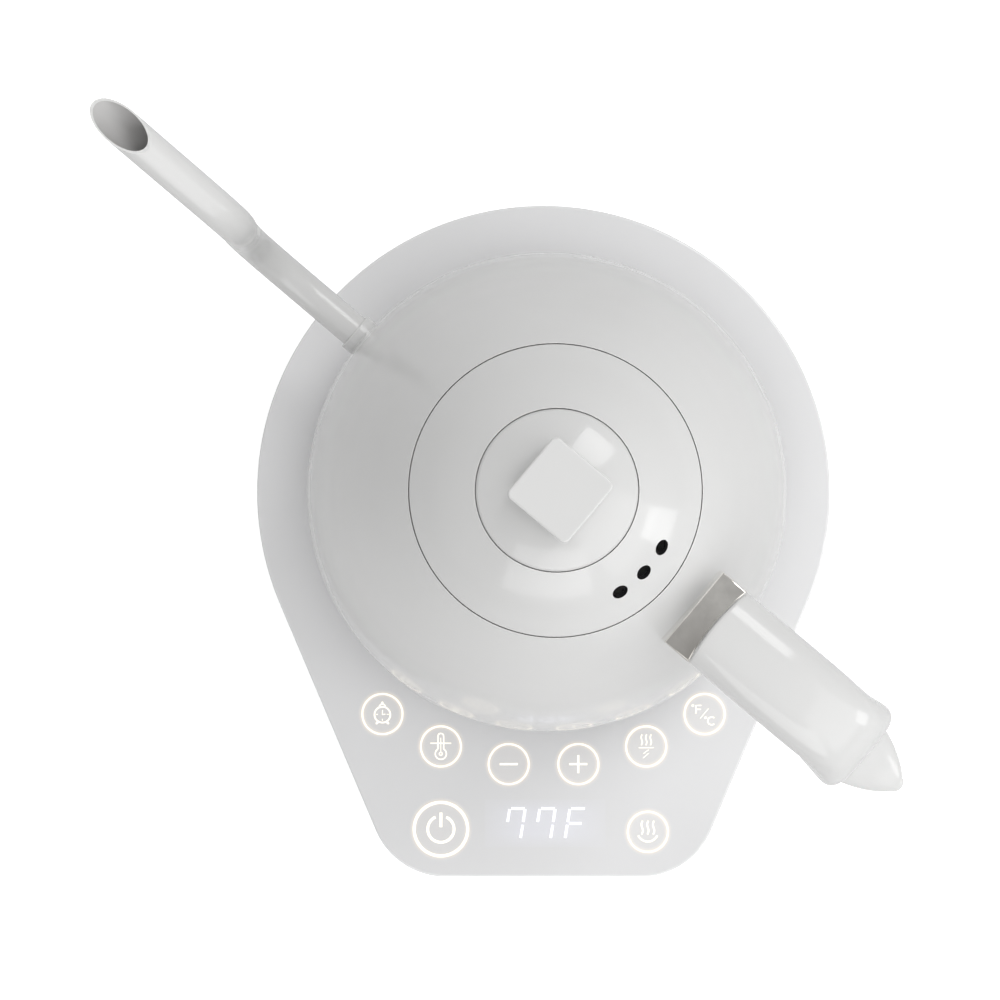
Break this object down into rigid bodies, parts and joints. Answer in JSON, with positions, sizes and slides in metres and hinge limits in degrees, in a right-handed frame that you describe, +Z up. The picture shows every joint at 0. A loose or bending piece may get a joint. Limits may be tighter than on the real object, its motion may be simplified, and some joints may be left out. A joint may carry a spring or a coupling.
{
  "type": "gooseneck kettle",
  "caption": "Electric gooseneck kettle with a lift-out lid and a top-and-rear grip, turning freely on a base with a lit touch control panel; heats and pours water in a thin stream.",
  "frame": {"origin": "on the axis the kettle turns on, at the table plane under the base's feet", "axes": "+Z up along the turning axis, -Y towards the control panel's front edge, +X to the right as seen by someone facing the panel"},
  "size_m": [0.2046, 0.206, 0.217],
  "materials": {
    "white_lacquer": "high gloss white lacquer",
    "white_panel": "high gloss white",
    "white_plastic": "satin",
    "grey_plastic": "fine texture",
    "chrome": "polished, slightly warm",
    "brushed_steel": "brushed",
    "aluminium": "as pressed",
    "brass": "plain",
    "rubber": "matt",
    "silicone": "matt grey silicone",
    "cord_white": "matt flexible sheath",
    "circuit_board": "solder mask",
    "black_plastic": "satin",
    "light_guide": "translucent warm white"
  },
  "bodies": {
    "base": {"base_bottom_cover": "grey_plastic", "base_connector": "grey_plastic", "base_housing": "white_lacquer", "base_screw_1": "brushed_steel", "base_screw_2": "brushed_steel", "base_screw_3": "brushed_steel", "base_screw_4": "brushed_steel", "base_top_panel": "white_panel", "buzzer": "black_plastic", "contact_ring_inner": "brass", "contact_ring_outer": "brass", "cord_clamp": "grey_plastic", "display_module": "black_plastic", "foot_back_left": "rubber", "foot_back_right": "rubber", "foot_centre": "rubber", "foot_front_left": "rubber", "foot_front_right": "rubber", "mains_cord": "cord_white", "plug_blade_1": "brass", "plug_blade_2": "brass", "plug_body": "cord_white", "plug_earth_pin": "brass", "power_board": "circuit_board", "power_relay": "black_plastic", "touch_board": "circuit_board", "touch_key_alarm": "light_guide", "touch_key_boil": "light_guide", "touch_key_keep_warm": "light_guide", "touch_key_minus": "light_guide", "touch_key_plus": "light_guide", "touch_key_power": "light_guide", "touch_key_preset": "light_guide", "touch_key_unit": "light_guide", "transformer": "grey_plastic"},
    "swivel": {"kettle_connector": "grey_plastic", "connector_pin": "brass", "connector_ring_inner": "brass", "connector_ring_outer": "brass"},
    "kettle": {"vessel_shell": "white_lacquer", "lid_neck": "brushed_steel", "vessel_floor": "brushed_steel", "heating_plate": "aluminium", "heating_element": "brushed_steel", "thermal_cutout": "black_plastic", "temperature_probe": "brushed_steel", "kettle_bottom_cover": "grey_plastic", "spout_tube": "white_lacquer", "spout_collar": "white_lacquer", "spout_strainer": "brushed_steel", "handle_bracket": "chrome", "handle_grip": "white_lacquer", "grip_screw": "brushed_steel"},
    "lid_seal": {"lid_gasket": "silicone"},
    "lid": {"lid_dome": "white_lacquer", "lid_cap": "white_lacquer", "lid_insert": "white_plastic", "lid_knob": "white_lacquer", "knob_screw": "brushed_steel"}
  },
  "joints": [
    {"name": "kettle_lift", "type": "slide", "parent": "base", "child": "swivel", "axis": [0, 0, 1], "range_m": [0, 0.08]},
    {"name": "kettle_turn", "type": "hinge", "parent": "swivel", "child": "kettle", "pos_m": [0, 0, 0.04], "axis": [0, 0, 1], "continuous": true},
    {"name": "lid_lift", "type": "slide", "parent": "kettle", "child": "lid_seal", "axis": [0, 0, 1], "range_m": [0, 0.05]},
    {"name": "lid_turn", "type": "hinge", "parent": "lid_seal", "child": "lid", "pos_m": [0, 0, 0.165], "axis": [0, 0, 1], "continuous": true}
  ]
}
